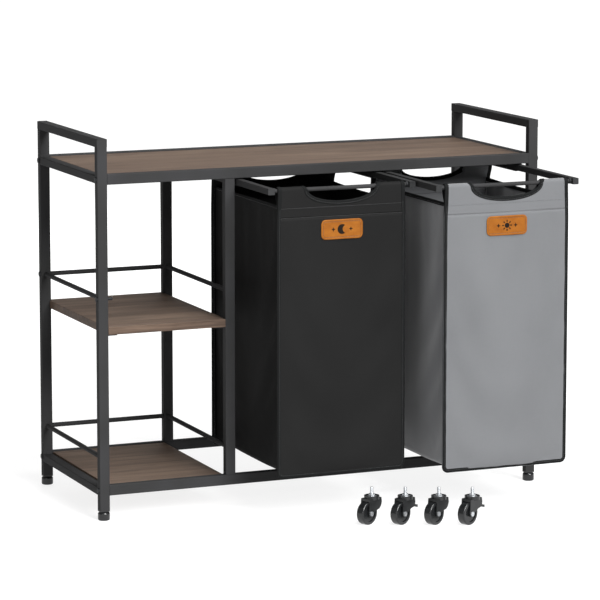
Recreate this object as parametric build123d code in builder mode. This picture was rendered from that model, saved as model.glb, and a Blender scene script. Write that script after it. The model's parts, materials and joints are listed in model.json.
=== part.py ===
"""Laundry sorter: a steel shelf frame with two pull-out bag units, screw-in feet and four loose casters."""

import os
from math import cos, radians, sin

from build123d import *

os.makedirs("parts", exist_ok=True)

# Overall frame, in millimetres. X runs along the frame, -Y is its front, Z is up from the floor.
WIDTH = 920
DEPTH = 355
HEIGHT = 727
FRONT = -24.3  # front face of the frame; the origin is midway between it and the parked casters
BACK = FRONT + DEPTH
LEFT = -WIDTH / 2
RIGHT = WIDTH / 2

# Rectangular steel tube: 20 wide, 15 deep, welded from 1.2 mm sheet.
TUBE_WIDTH = 20
TUBE_DEPTH = 15
TUBE_WALL = 1.2
TUBE_CORNER = 1.5
HANDLE_HEIGHT = 16
LEG_BOTTOM = 19
SIDE_RAIL_TOP = 657.5
LONG_RAIL_TOP = 660.5
BOTTOM_RAIL_TOP = 67.5
BOTTOM_SIDE_RAIL_TOP = 62.5

# The middle uprights stand between the open shelves on the left and the bags on the right.
MIDDLE_LEFT = LEFT + 256
MIDDLE_RIGHT = MIDDLE_LEFT + TUBE_WIDTH

# Boards and the round guard rods beside them.
BOARD_THICKNESS = 15
SHELF_TOP = 371
SHELF_TUCK = 3  # how far the middle shelf reaches between the uprights
BOARD_EDGE = 0.5  # small bevel along the boards' edges
BOTTOM_SHELF_TOP = 66
ROD_RADIUS = 4.5
ROD_HEIGHTS = (424, 119)

# Tabs and screws.
TAB_SIZE = 18
TAB_THICKNESS = 2
SHELF_TAB_WIDTH = 12
SCREW_SHARE = 0.7  # how far along a tab its screw sits
SCREW_RADIUS = 1.75
SCREW_LENGTH = 12
SCREW_HEAD_RADIUS = 3.5

# Frame bolts.
BOLT_HEIGHTS = (650, 424, 57)
BOLT_RADIUS = 3
BOLT_HEAD_RADIUS = 5.5
BOLT_HEAD_HEIGHT = 2.4
NUT_BLOCK = 12
BOLT_BITE = 10  # how far a bolt reaches past the upright

# Bag slides: square bars that run in channels under the top board.
BAR = 12
BAR_WALL = 1.2
BAR_CORNER = 1
BAR_TOP = 638
BAR_LENGTH = 349
BAR_CAP = 2
BAR_CAP_PLUG = 4
UNIT_WIDTH = 300
DARK_LEFT = LEFT + 283
DARK_OUT = 153  # how far the dark unit stands out of the frame
LIGHT_LEFT = LEFT + 591
LIGHT_OUT = 228
CROSS_ROD_RADIUS = 4
CROSS_ROD_INSET = 11
GUIDE_GAP = 0.4
GUIDE_WALL = 1.4
GUIDE_BACK_GAP = 16
GUIDE_SCREW_INSET = 30
GUIDE_SCREW_HEAD = 1.4
NUT_RADIUS = 6
NUT_THICKNESS = 4

# Bags.
PANEL_WIDTH = 263
PANEL_BOTTOM = 86
CLOTH = 2.1
HEM_GAP = 0.4
GUSSET_INSET = 9
GUSSET_BOTTOM = 99
GUSSET_TOP = 602
PANEL_CORNER = 12
BINDING_WIDTH = 8
BINDING_THICKNESS = 1
MOON_WIDTH = 140
MOON_DEPTH = 30
LABEL_WIDTH = 85
LABEL_HEIGHT = 37.5
LABEL_CENTRE = 554.5
LABEL_CORNER = 9
LABEL_THICKNESS = 1.6

# Screw-in feet.
FOOT_RADIUS = 11.5
FOOT_HEIGHT = 16
FOOT_EDGE = 2.5
FOOT_SHOULDER = 4
STUD_RADIUS = 3
STUD_TOP = 36
THREAD_GAP = 0.05
FACE_GAP = 0.3
INSERT_TOP = 41
COLLAR = 2

# Casters: they stand in a row in front of the frame.
CASTER_COUNT = 4
BRAKED = (2, 4)
CASTER_PITCH = 63.2
ROW_ANGLE = -23.3
ROLL_ANGLE = 26.3
FIRST_CASTER = (7.3, FRONT - 213.2)  # stem of the leftmost one
TRAIL = 14
WHEEL_RADIUS = 22
WHEEL_WIDTH = 16
TREAD_CORNER = 2.5
TREAD_DEPTH = 6
HUB_RADIUS = 6
DISH_DEPTH = 2
AXLE_RADIUS = 2.5
AXLE_HEAD_RADIUS = 4.5
AXLE_HEAD_HEIGHT = 1.8
FORK_LEG = 2.5
FORK_GAP = 0.5
AXLE_PAD_RADIUS = 6
HOOD_BOTTOM = 44.6
HOOD_TOP = 49.5
HOOD_FRONT = -18
HOOD_BACK = 15.5
HOOD_WALL = 2
CUP_RADIUS = 14.5
CUP_WALL = 2.5
PLATE_GAP = 1
CUP_BOTTOM = 46.5
CUP_FLOOR = 49.5
CUP_TOP = 54
PLATE_TOP = 52
HEX_TOP = 57
HEX_RADIUS = 6.5
STEM_RADIUS = 3
KINGPIN_RADIUS = 3
KINGPIN_HEAD_RADIUS = 5
KINGPIN_HEAD = (44.7, 46.2)
STEM_TOP = 70
STEM_CHAMFER = 0.6
LEVER_PIVOT = (12, 34)
LEVER_PIN_RADIUS = 2
LEVER_BOSS_RADIUS = 4
LEVER_REACH = 28
PADDLE_HALF = 2.4
PADDLE_DROP = 4


def save(piece, name):
    """Labels a finished piece and writes it as its own file."""
    piece.part.label = name
    export_step(piece.part, "parts/" + name + ".step")


def along_x(x, y, z):
    """A plane at a point that faces +X, with its local x along Y."""
    return Plane(origin=(x, y, z), x_dir=(0, 1, 0), z_dir=(1, 0, 0))


def along_y(x, y, z):
    """A plane at a point that faces +Y, with its local x along -X and local y along Z."""
    return Plane(origin=(x, y, z), x_dir=(-1, 0, 0), z_dir=(0, 1, 0))


def level(x, y, z):
    """A plane at a point that faces up."""
    return Plane(origin=(x, y, z))


def add_tube(plane, width, depth, length, wall=TUBE_WALL, corner=TUBE_CORNER):
    """Adds an open rectangular tube that starts on the plane and runs along its normal."""
    with BuildSketch(plane) as profile:
        RectangleRounded(width, depth, corner)
        RectangleRounded(width - 2 * wall, depth - 2 * wall, corner / 2, mode=Mode.SUBTRACT)
    extrude(profile.sketch, amount=length)


def add_bar(plane, width, depth, length, corner, mode=Mode.ADD):
    """Adds a solid rectangular bar that starts on the plane and runs along its normal."""
    with BuildSketch(plane) as profile:
        RectangleRounded(width, depth, corner)
    extrude(profile.sketch, amount=length, mode=mode)


def add_rod(plane, radius, length, mode=Mode.ADD):
    """Adds a round rod that starts on the plane and runs along its normal."""
    with BuildSketch(plane) as profile:
        Circle(radius)
    extrude(profile.sketch, amount=length, mode=mode)


def add_block(corner_low, corner_high, mode=Mode.ADD):
    """Adds a plain block between two opposite corners."""
    size = [high - low for low, high in zip(corner_low, corner_high)]
    with Locations(corner_low):
        Box(*size, align=(Align.MIN, Align.MIN, Align.MIN), mode=mode)


def bevel_faces(board):
    """Takes the sharp edge off a board's top and bottom faces."""
    levels = board.edges().group_by(Axis.Z)
    chamfer(levels[0] + levels[-1], BOARD_EDGE)


# Upright tubes. The outer ones are drilled for the frame bolts.
UPRIGHT_ROWS = (FRONT + TUBE_DEPTH / 2, BACK - TUBE_DEPTH / 2)
HANDLE_BOTTOM = HEIGHT - HANDLE_HEIGHT
for side, centre_x in (("left", LEFT + TUBE_WIDTH / 2), ("right", RIGHT - TUBE_WIDTH / 2)):
    with BuildPart() as outer_uprights:
        for row in UPRIGHT_ROWS:
            add_tube(level(centre_x, row, LEG_BOTTOM), TUBE_WIDTH, TUBE_DEPTH, HANDLE_BOTTOM - LEG_BOTTOM)
            for bolt_z in BOLT_HEIGHTS:
                start = along_x(centre_x - TUBE_WIDTH, row, bolt_z)
                add_rod(start, BOLT_RADIUS, 2 * TUBE_WIDTH, mode=Mode.SUBTRACT)
    save(outer_uprights, side + "_uprights")

MIDDLE_X = (MIDDLE_LEFT + MIDDLE_RIGHT) / 2
LONG_RAIL_BOTTOM = LONG_RAIL_TOP - TUBE_WIDTH
with BuildPart() as middle_uprights:
    for row in UPRIGHT_ROWS:
        add_tube(
            level(MIDDLE_X, row, BOTTOM_RAIL_TOP), TUBE_WIDTH, TUBE_DEPTH, LONG_RAIL_BOTTOM - BOTTOM_RAIL_TOP
        )
save(middle_uprights, "middle_uprights")

# Push handles: closed tubes across the top of each pair of outer uprights.
for side, centre_x in (("left", LEFT + TUBE_WIDTH / 2), ("right", RIGHT - TUBE_WIDTH / 2)):
    with BuildPart() as handle:
        start = along_y(centre_x, FRONT, HANDLE_BOTTOM + HANDLE_HEIGHT / 2)
        add_bar(start, TUBE_WIDTH, HANDLE_HEIGHT, DEPTH, TUBE_CORNER)
        add_bar(
            start.offset(TUBE_WALL),
            TUBE_WIDTH - 2 * TUBE_WALL,
            HANDLE_HEIGHT - 2 * TUBE_WALL,
            DEPTH - 2 * TUBE_WALL,
            TUBE_CORNER / 2,
            mode=Mode.SUBTRACT,
        )
    save(handle, side + "_handle")

# Side rails between the outer uprights, one under the top board's end and one near the floor.
SIDE_RAIL_LENGTH = DEPTH - 2 * TUBE_DEPTH
for side, centre_x in (("left", LEFT + TUBE_WIDTH / 2), ("right", RIGHT - TUBE_WIDTH / 2)):
    with BuildPart() as side_rails:
        for rail_top in (SIDE_RAIL_TOP, BOTTOM_SIDE_RAIL_TOP):
            start = along_y(centre_x, FRONT + TUBE_DEPTH, rail_top - TUBE_DEPTH / 2)
            add_tube(start, TUBE_WIDTH, TUBE_DEPTH, SIDE_RAIL_LENGTH)
    save(side_rails, side + "_side_rails")

# Long rails along the front and the back.
LONG_RAIL_LENGTH = WIDTH - 2 * TUBE_WIDTH
for name, rail_top in (("long_top_rails", LONG_RAIL_TOP), ("long_bottom_rails", BOTTOM_RAIL_TOP)):
    with BuildPart() as long_rails:
        for row in UPRIGHT_ROWS:
            start = along_x(LEFT + TUBE_WIDTH, row, rail_top - TUBE_WIDTH / 2)
            add_tube(start, TUBE_DEPTH, TUBE_WIDTH, LONG_RAIL_LENGTH)
    save(long_rails, name)

# Threaded blocks pressed into the ends of the long rails, where the frame bolts bite.
with BuildPart() as rail_nuts:
    for row in UPRIGHT_ROWS:
        for bolt_z in (BOLT_HEIGHTS[0], BOLT_HEIGHTS[2]):
            for start_x in (LEFT + TUBE_WIDTH, RIGHT - TUBE_WIDTH - NUT_BLOCK):
                start = along_x(start_x, row, bolt_z)
                side_length = TUBE_DEPTH - 2 * TUBE_WALL
                add_bar(start, side_length, side_length, NUT_BLOCK, TUBE_CORNER / 2)
                add_rod(start, BOLT_RADIUS, NUT_BLOCK, mode=Mode.SUBTRACT)
save(rail_nuts, "rail_nuts")

# Frame bolts: a low domed head outside the upright and a shank through it.
with BuildPart() as frame_bolts:
    for row in UPRIGHT_ROWS:
        for bolt_z in BOLT_HEIGHTS:
            for face_x, inward in ((LEFT, 1), (RIGHT, -1)):
                face = Plane(origin=(face_x, row, bolt_z), x_dir=(0, 1, 0), z_dir=(inward, 0, 0))
                add_rod(face, BOLT_RADIUS, TUBE_WIDTH + BOLT_BITE)
                add_rod(face.offset(-BOLT_HEAD_HEIGHT), BOLT_HEAD_RADIUS, BOLT_HEAD_HEIGHT)
    rims = frame_bolts.edges().filter_by(GeomType.CIRCLE)
    fillet([e for e in rims if abs(e.center().X) > RIGHT + BOLT_HEAD_HEIGHT / 2], BOLT_HEAD_HEIGHT * 0.6)
save(frame_bolts, "frame_bolts")

# Guard rods at the left end, at the back of the shelves and beside the bags.
with BuildPart() as left_guard_rods:
    for rod_z in ROD_HEIGHTS:
        add_rod(along_y(LEFT + TUBE_WIDTH / 2, FRONT + TUBE_DEPTH, rod_z), ROD_RADIUS, SIDE_RAIL_LENGTH)
save(left_guard_rods, "left_guard_rods")

with BuildPart() as rear_guard_rods:
    for rod_z in ROD_HEIGHTS:
        start = along_x(LEFT + TUBE_WIDTH, UPRIGHT_ROWS[1], rod_z)
        add_rod(start, ROD_RADIUS, MIDDLE_LEFT - LEFT - TUBE_WIDTH)
    bored_end = along_x(LEFT + TUBE_WIDTH, UPRIGHT_ROWS[1], BOLT_HEIGHTS[1])
    add_rod(bored_end, BOLT_RADIUS, NUT_BLOCK, mode=Mode.SUBTRACT)
save(rear_guard_rods, "rear_guard_rods")

with BuildPart() as middle_guard_rods:
    for rod_z in ROD_HEIGHTS:
        add_rod(along_y(MIDDLE_X, FRONT + TUBE_DEPTH, rod_z), ROD_RADIUS, SIDE_RAIL_LENGTH)
save(middle_guard_rods, "middle_guard_rods")

# Boards. The middle shelf is notched at its corners so that it reaches between the uprights.
INNER_FRONT = FRONT + TUBE_DEPTH
INNER_BACK = BACK - TUBE_DEPTH
with BuildPart() as top_board:
    add_block(
        (LEFT + TUBE_WIDTH, INNER_FRONT, SIDE_RAIL_TOP - BOARD_THICKNESS),
        (RIGHT - TUBE_WIDTH, INNER_BACK, SIDE_RAIL_TOP),
    )
    bevel_faces(top_board)
save(top_board, "top_board")

SHELF_BOTTOM = SHELF_TOP - BOARD_THICKNESS
with BuildPart() as middle_shelf:
    add_block((LEFT + TUBE_WIDTH, FRONT, SHELF_BOTTOM), (MIDDLE_LEFT, BACK, SHELF_TOP))
    add_block(
        (LEFT + TUBE_WIDTH - SHELF_TUCK, INNER_FRONT, SHELF_BOTTOM),
        (MIDDLE_LEFT + SHELF_TUCK, INNER_BACK, SHELF_TOP),
    )
    bevel_faces(middle_shelf)
save(middle_shelf, "middle_shelf")

BOTTOM_SHELF_BOTTOM = BOTTOM_SHELF_TOP - BOARD_THICKNESS
with BuildPart() as bottom_shelf:
    add_block(
        (LEFT + TUBE_WIDTH, INNER_FRONT, BOTTOM_SHELF_BOTTOM),
        (MIDDLE_LEFT, INNER_BACK, BOTTOM_SHELF_TOP),
    )
    bevel_faces(bottom_shelf)
save(bottom_shelf, "bottom_shelf")

# Flat tabs welded to the rails under the top and bottom boards and to the uprights under the middle shelf.
# Each place is (x of the tab's middle, y of its root, +1 or -1 towards the board, the board's underside).
TOP_TAB_X = (LEFT + 70, LEFT + 220, LEFT + 430, LEFT + 740)
BOTTOM_TAB_X = (LEFT + 70, LEFT + 220)
TAB_ROOTS = ((INNER_FRONT, 1), (INNER_BACK, -1))
tab_places = []
for root_y, inward in TAB_ROOTS:
    for tab_x in TOP_TAB_X:
        tab_places.append((tab_x, root_y, inward, SIDE_RAIL_TOP - BOARD_THICKNESS))
    for tab_x in BOTTOM_TAB_X:
        tab_places.append((tab_x, root_y, inward, BOTTOM_SHELF_BOTTOM))
shelf_tab_places = []
for root_x, towards_board in ((LEFT + TUBE_WIDTH, 1), (MIDDLE_LEFT, -1)):
    for tab_y in (INNER_FRONT - SHELF_TAB_WIDTH / 2, INNER_BACK + SHELF_TAB_WIDTH / 2):
        shelf_tab_places.append((root_x, towards_board, tab_y))
screw_places = []
for place_x, root_y, inward, underside in tab_places:
    screw_places.append((place_x, root_y + inward * TAB_SIZE * SCREW_SHARE, underside - TAB_THICKNESS))
for root_x, towards_board, tab_y in shelf_tab_places:
    screw_x = root_x + towards_board * TAB_SIZE * SCREW_SHARE
    screw_places.append((screw_x, tab_y, SHELF_BOTTOM - TAB_THICKNESS))

with BuildPart() as shelf_brackets:
    for place_x, root_y, inward, underside in tab_places:
        low_y, high_y = sorted((root_y, root_y + inward * TAB_SIZE))
        add_block(
            (place_x - TAB_SIZE / 2, low_y, underside - TAB_THICKNESS),
            (place_x + TAB_SIZE / 2, high_y, underside),
        )
    for root_x, towards_board, tab_y in shelf_tab_places:
        low_x, high_x = sorted((root_x, root_x + towards_board * TAB_SIZE))
        add_block(
            (low_x, tab_y - SHELF_TAB_WIDTH / 2, SHELF_BOTTOM - TAB_THICKNESS),
            (high_x, tab_y + SHELF_TAB_WIDTH / 2, SHELF_BOTTOM),
        )
    for screw_x, screw_y, screw_z in screw_places:
        with Locations(Plane(origin=(screw_x, screw_y, screw_z), z_dir=(0, 0, -1))):
            CounterSinkHole(SCREW_RADIUS, SCREW_HEAD_RADIUS, TAB_THICKNESS, 90)
save(shelf_brackets, "shelf_brackets")


def add_screw(point):
    """Adds a countersunk wood screw that points up from its flush head at the point."""
    cone = SCREW_HEAD_RADIUS - SCREW_RADIUS
    with BuildSketch(Plane(origin=point, x_dir=(1, 0, 0), z_dir=(0, -1, 0))) as outline:
        with BuildLine():
            Polyline(
                (0, 0),
                (SCREW_HEAD_RADIUS, 0),
                (SCREW_RADIUS, cone),
                (SCREW_RADIUS, SCREW_LENGTH - cone),
                (0, SCREW_LENGTH),
                close=True,
            )
        make_face()
    revolve(outline.sketch, axis=Axis(point, (0, 0, 1)))


with BuildPart() as shelf_screws:
    for point in screw_places:
        add_screw(point)
save(shelf_screws, "shelf_screws")

# Bag slide guides: channels screwed under the top board, open on the side that faces the bag.
GUIDE_FRONT = FRONT + GUIDE_BACK_GAP
GUIDE_LENGTH = DEPTH - 2 * GUIDE_BACK_GAP
BOARD_BOTTOM = SIDE_RAIL_TOP - BOARD_THICKNESS
BAR_BOTTOM = BAR_TOP - BAR
guide_places = []
for unit_left in (DARK_LEFT, LIGHT_LEFT):
    guide_places.append((unit_left - GUIDE_GAP, 1))
    guide_places.append((unit_left + UNIT_WIDTH + GUIDE_GAP, -1))

with BuildPart() as bag_guides:
    for web_x, towards_bag in guide_places:
        lip = towards_bag * (BAR + GUIDE_GAP)
        web = -towards_bag * GUIDE_WALL
        lip_top = BAR_BOTTOM - GUIDE_GAP
        facing_front = Plane(origin=(web_x, GUIDE_FRONT, 0), x_dir=(1, 0, 0), z_dir=(0, -1, 0))
        with BuildSketch(facing_front) as section:
            with BuildLine():
                Polyline(
                    (web, BOARD_BOTTOM),
                    (lip, BOARD_BOTTOM),
                    (lip, BOARD_BOTTOM - GUIDE_WALL),
                    (0, BOARD_BOTTOM - GUIDE_WALL),
                    (0, lip_top),
                    (lip, lip_top),
                    (lip, lip_top - GUIDE_WALL),
                    (web, lip_top - GUIDE_WALL),
                    close=True,
                )
            make_face()
        extrude(section.sketch, amount=GUIDE_LENGTH, dir=(0, 1, 0))
save(bag_guides, "bag_guides")

with BuildPart() as guide_screws:
    for web_x, towards_bag in guide_places:
        for screw_y in (GUIDE_FRONT + GUIDE_SCREW_INSET, GUIDE_FRONT + GUIDE_LENGTH - GUIDE_SCREW_INSET):
            head_bottom = BOARD_BOTTOM - GUIDE_WALL - GUIDE_SCREW_HEAD
            head = level(web_x + towards_bag * BAR / 2, screw_y, head_bottom)
            add_rod(head, SCREW_HEAD_RADIUS, GUIDE_SCREW_HEAD)
            add_rod(head, SCREW_RADIUS, SCREW_LENGTH)
save(guide_screws, "guide_screws")


CROSS_ROD_Z = BAR_TOP - BAR / 2
HEM_RADIUS = CROSS_ROD_RADIUS + HEM_GAP + CLOTH
HEM_TOP = CROSS_ROD_Z + HEM_RADIUS

for shade, unit_left, out in (("dark", DARK_LEFT, DARK_OUT), ("light", LIGHT_LEFT, LIGHT_OUT)):
    unit_middle = unit_left + UNIT_WIDTH / 2
    bar_front = FRONT - out
    bar_back = bar_front + BAR_LENGTH
    rod_front = bar_front + CROSS_ROD_INSET
    rod_back = bar_back - CROSS_ROD_INSET
    bar_centres = (unit_left + BAR / 2, unit_left + UNIT_WIDTH - BAR / 2)

    # Slide bars, bored on their inner sides for the cross rods.
    bore_start = unit_left + BAR_WALL
    bore_length = UNIT_WIDTH - 2 * BAR_WALL
    with BuildPart() as bars:
        for bar_x in bar_centres:
            start = along_y(bar_x, bar_front + BAR_CAP, CROSS_ROD_Z)
            add_tube(start, BAR, BAR, BAR_LENGTH - 2 * BAR_CAP, wall=BAR_WALL, corner=BAR_CORNER)
        for rod_y in (rod_front, rod_back):
            bore = along_x(bore_start, rod_y, CROSS_ROD_Z)
            add_rod(bore, CROSS_ROD_RADIUS, bore_length, mode=Mode.SUBTRACT)
    save(bars, shade + "_bag_bars")

    # Push-in caps at the ends of the bars.
    plug = BAR - 2 * BAR_WALL
    with BuildPart() as caps:
        for bar_x in bar_centres:
            back_plug = bar_back - BAR_CAP - BAR_CAP_PLUG
            for cap_y, plug_y in ((bar_front, bar_front + BAR_CAP), (bar_back - BAR_CAP, back_plug)):
                add_bar(along_y(bar_x, cap_y, CROSS_ROD_Z), BAR, BAR, BAR_CAP, BAR_CORNER)
                add_bar(along_y(bar_x, plug_y, CROSS_ROD_Z), plug, plug, BAR_CAP_PLUG, BAR_CORNER / 2)
    save(caps, shade + "_bar_caps")

    # Cross rods that carry the bag's front and back hems.
    with BuildPart() as rods:
        for rod_y in (rod_front, rod_back):
            add_rod(along_x(bore_start, rod_y, CROSS_ROD_Z), CROSS_ROD_RADIUS, bore_length)
    save(rods, shade + "_bag_rods")

    # Nuts that lock the rods against the bars.
    with BuildPart() as nuts:
        for rod_y in (rod_front, rod_back):
            for nut_x in (unit_left + BAR, unit_left + UNIT_WIDTH - BAR - NUT_THICKNESS):
                with BuildSketch(along_x(nut_x, rod_y, CROSS_ROD_Z)) as nut_outline:
                    RegularPolygon(NUT_RADIUS, 6)
                    Circle(CROSS_ROD_RADIUS, mode=Mode.SUBTRACT)
                extrude(nut_outline.sketch, amount=NUT_THICKNESS)
    save(nuts, shade + "_rod_nuts")

    # Bag: front and back panels that hang from hems around the rods, and a gusset for sides and bottom.
    panel_left = unit_middle - PANEL_WIDTH / 2
    front_face = rod_front - HEM_RADIUS
    back_face = rod_back + HEM_RADIUS
    panel_height = CROSS_ROD_Z - PANEL_BOTTOM
    gusset_width = PANEL_WIDTH - 2 * GUSSET_INSET
    with BuildPart() as bag:
        for face_y in (front_face, back_face - CLOTH):
            facing_front = Plane(origin=(unit_middle, face_y, 0), x_dir=(1, 0, 0), z_dir=(0, -1, 0))
            with BuildSketch(facing_front) as panel:
                with Locations((0, PANEL_BOTTOM + panel_height / 2)):
                    Rectangle(PANEL_WIDTH, panel_height)
                low_corners = panel.vertices().sort_by(Axis.Y)[:2]
                fillet(low_corners, PANEL_CORNER)
            extrude(panel.sketch, amount=CLOTH, dir=(0, 1, 0))
        for rod_y in (rod_front, rod_back):
            hem_end = along_x(panel_left, rod_y, CROSS_ROD_Z)
            add_rod(hem_end, HEM_RADIUS, PANEL_WIDTH)
            add_rod(hem_end, HEM_RADIUS - CLOTH, PANEL_WIDTH, mode=Mode.SUBTRACT)
        gusset_left = unit_middle - gusset_width / 2
        gusset_right = unit_middle + gusset_width / 2
        inner_front = front_face + CLOTH
        inner_back = back_face - CLOTH
        for wall_x in (gusset_left, gusset_right - CLOTH):
            add_block((wall_x, inner_front, GUSSET_BOTTOM), (wall_x + CLOTH, inner_back, GUSSET_TOP))
        add_block(
            (gusset_left, inner_front, GUSSET_BOTTOM),
            (gusset_right, inner_back, GUSSET_BOTTOM + CLOTH),
        )
        facing_front = Plane(origin=(unit_middle, front_face - 1, 0), x_dir=(1, 0, 0), z_dir=(0, -1, 0))
        with BuildSketch(facing_front) as moon:
            with Locations((0, HEM_TOP)):
                Ellipse(MOON_WIDTH / 2, MOON_DEPTH)
        extrude(moon.sketch, amount=back_face - front_face + 2, dir=(0, 1, 0), mode=Mode.SUBTRACT)
    save(bag, shade + "_bag")

    # Binding tape around the edges of the front and back panels and along each half-moon.
    with BuildPart() as binding:
        for face_y, outward in ((front_face, -1), (back_face, 1)):
            facing_front = Plane(origin=(unit_middle, face_y, 0), x_dir=(1, 0, 0), z_dir=(0, -1, 0))
            tape_height = CROSS_ROD_Z - PANEL_BOTTOM
            with BuildSketch(facing_front) as tape:
                with Locations((0, PANEL_BOTTOM + tape_height / 2)):
                    Rectangle(PANEL_WIDTH, tape_height)
                fillet(tape.vertices().sort_by(Axis.Y)[:2], PANEL_CORNER)
                with BuildSketch(mode=Mode.SUBTRACT) as opening:
                    with Locations((0, PANEL_BOTTOM + BINDING_WIDTH + tape_height / 2)):
                        Rectangle(PANEL_WIDTH - 2 * BINDING_WIDTH, tape_height)
                    fillet(opening.vertices().sort_by(Axis.Y)[:2], PANEL_CORNER - BINDING_WIDTH)
            extrude(tape.sketch, amount=BINDING_THICKNESS, dir=(0, outward, 0))
            with BuildSketch(facing_front) as moon_tape:
                with Locations((0, CROSS_ROD_Z - MOON_DEPTH)):
                    Rectangle(MOON_WIDTH + 2 * BINDING_WIDTH, 2 * MOON_DEPTH)
                with Locations((0, HEM_TOP)):
                    Ellipse(MOON_WIDTH / 2 + BINDING_WIDTH, MOON_DEPTH + BINDING_WIDTH, mode=Mode.INTERSECT)
                    Ellipse(MOON_WIDTH / 2, MOON_DEPTH, mode=Mode.SUBTRACT)
            extrude(moon_tape.sketch, amount=BINDING_THICKNESS, dir=(0, outward, 0))
    save(binding, shade + "_bag_binding")

    # Leather label on the front panel.
    with BuildPart() as label:
        label_middle = (unit_middle, front_face, LABEL_CENTRE)
        facing_front = Plane(origin=label_middle, x_dir=(1, 0, 0), z_dir=(0, -1, 0))
        add_bar(facing_front, LABEL_WIDTH, LABEL_HEIGHT, LABEL_THICKNESS, LABEL_CORNER)
    save(label, shade + "_bag_label")

# Threaded leg inserts with a collar under each outer upright, and the feet that screw into them.
LEG_COLUMNS = {"left": LEFT + TUBE_WIDTH / 2, "right": RIGHT - TUBE_WIDTH / 2}
LEG_ROWS = {"front": UPRIGHT_ROWS[0], "rear": UPRIGHT_ROWS[1]}
with BuildPart() as leg_inserts:
    for leg_x in (LEG_COLUMNS["left"], LEG_COLUMNS["right"]):
        for leg_y in UPRIGHT_ROWS:
            bottom = level(leg_x, leg_y, LEG_BOTTOM)
            plug_size = (TUBE_WIDTH - 2 * TUBE_WALL, TUBE_DEPTH - 2 * TUBE_WALL)
            add_bar(bottom, *plug_size, INSERT_TOP - LEG_BOTTOM, TUBE_CORNER / 2)
            add_bar(bottom.offset(-COLLAR), TUBE_WIDTH, TUBE_DEPTH, COLLAR, TUBE_CORNER)
            add_rod(bottom.offset(-COLLAR), STUD_RADIUS + THREAD_GAP, INSERT_TOP, mode=Mode.SUBTRACT)
save(leg_inserts, "leg_inserts")

for column, leg_x in LEG_COLUMNS.items():
    for row_name, leg_y in LEG_ROWS.items():
        with BuildPart() as foot:
            add_rod(level(leg_x, leg_y, 0), FOOT_RADIUS, FOOT_HEIGHT)
            fillet(foot.edges().group_by(Axis.Z)[0], FOOT_EDGE)
            fillet(foot.edges().group_by(Axis.Z)[-1], FOOT_SHOULDER)
            add_rod(level(leg_x, leg_y, FOOT_HEIGHT - 1), STUD_RADIUS, STUD_TOP - FOOT_HEIGHT + 1)
        save(foot, row_name + "_" + column + "_foot")

# Casters. In each one, u runs along the rolling direction towards the brake side and v along the axle.
UP = (0, 0, 1)
ROLL = (cos(radians(ROLL_ANGLE)), sin(radians(ROLL_ANGLE)), 0)
AXLE = (sin(radians(ROLL_ANGLE)), -cos(radians(ROLL_ANGLE)), 0)
ROW = (cos(radians(ROW_ANGLE)), sin(radians(ROW_ANGLE)))
LEG_INNER = WHEEL_WIDTH / 2 + FORK_GAP
LEG_OUTER = LEG_INNER + FORK_LEG


def caster_plane(stem, v):
    """A plane across the axle at offset v from the caster's middle; local x is u and local y is up."""
    origin = (stem[0] + AXLE[0] * v, stem[1] + AXLE[1] * v, 0)
    return Plane(origin=origin, x_dir=ROLL, z_dir=AXLE)


def add_disc(stem, u, z, radius, v_low, v_high, mode=Mode.ADD):
    """Adds a cylinder that lies along the axle direction."""
    with BuildSketch(caster_plane(stem, v_low)) as disc:
        with Locations((u, z)):
            Circle(radius)
    extrude(disc.sketch, amount=v_high - v_low, mode=mode)


def leg_outline(braked):
    """The outline (u, z) of a fork leg: from the axle up its front, along the hood and down its back."""
    outline = [
        (-TRAIL - AXLE_PAD_RADIUS, WHEEL_RADIUS),
        (HOOD_FRONT - 1, 39),
        (HOOD_FRONT, HOOD_TOP),
        (HOOD_BACK, HOOD_TOP),
    ]
    if braked:
        lug = LEVER_PIVOT[0] + LEVER_BOSS_RADIUS
        outline += [(lug + 1, 41), (lug, 32), (6, 30)]
    else:
        outline += [(HOOD_BACK + 1.5, 40), (HOOD_BACK - 1, 33), (HOOD_BACK - 6, 28), (4, 27)]
    return outline + [(-TRAIL + AXLE_PAD_RADIUS, WHEEL_RADIUS)]


def hood_outline(braked):
    """The outline (u, z) of the hood: a flat roof over the wheel, turned down behind it."""
    roof = [(HOOD_FRONT, HOOD_TOP), (HOOD_BACK, HOOD_TOP)]
    underside = [(HOOD_BACK - HOOD_WALL, HOOD_BOTTOM), (HOOD_FRONT, HOOD_BOTTOM)]
    if braked:
        return roof + [(HOOD_BACK + 1, 42), (HOOD_BACK - HOOD_WALL, 42)] + underside
    back = [(HOOD_BACK + 1.5, 40), (HOOD_BACK - 1, 33), (HOOD_BACK - 6, 28)]
    inner = [(HOOD_BACK - 7, 29.5), (HOOD_BACK - 3, 34), (HOOD_BACK - 0.5, 40)]
    return roof + back + inner + underside


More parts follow.
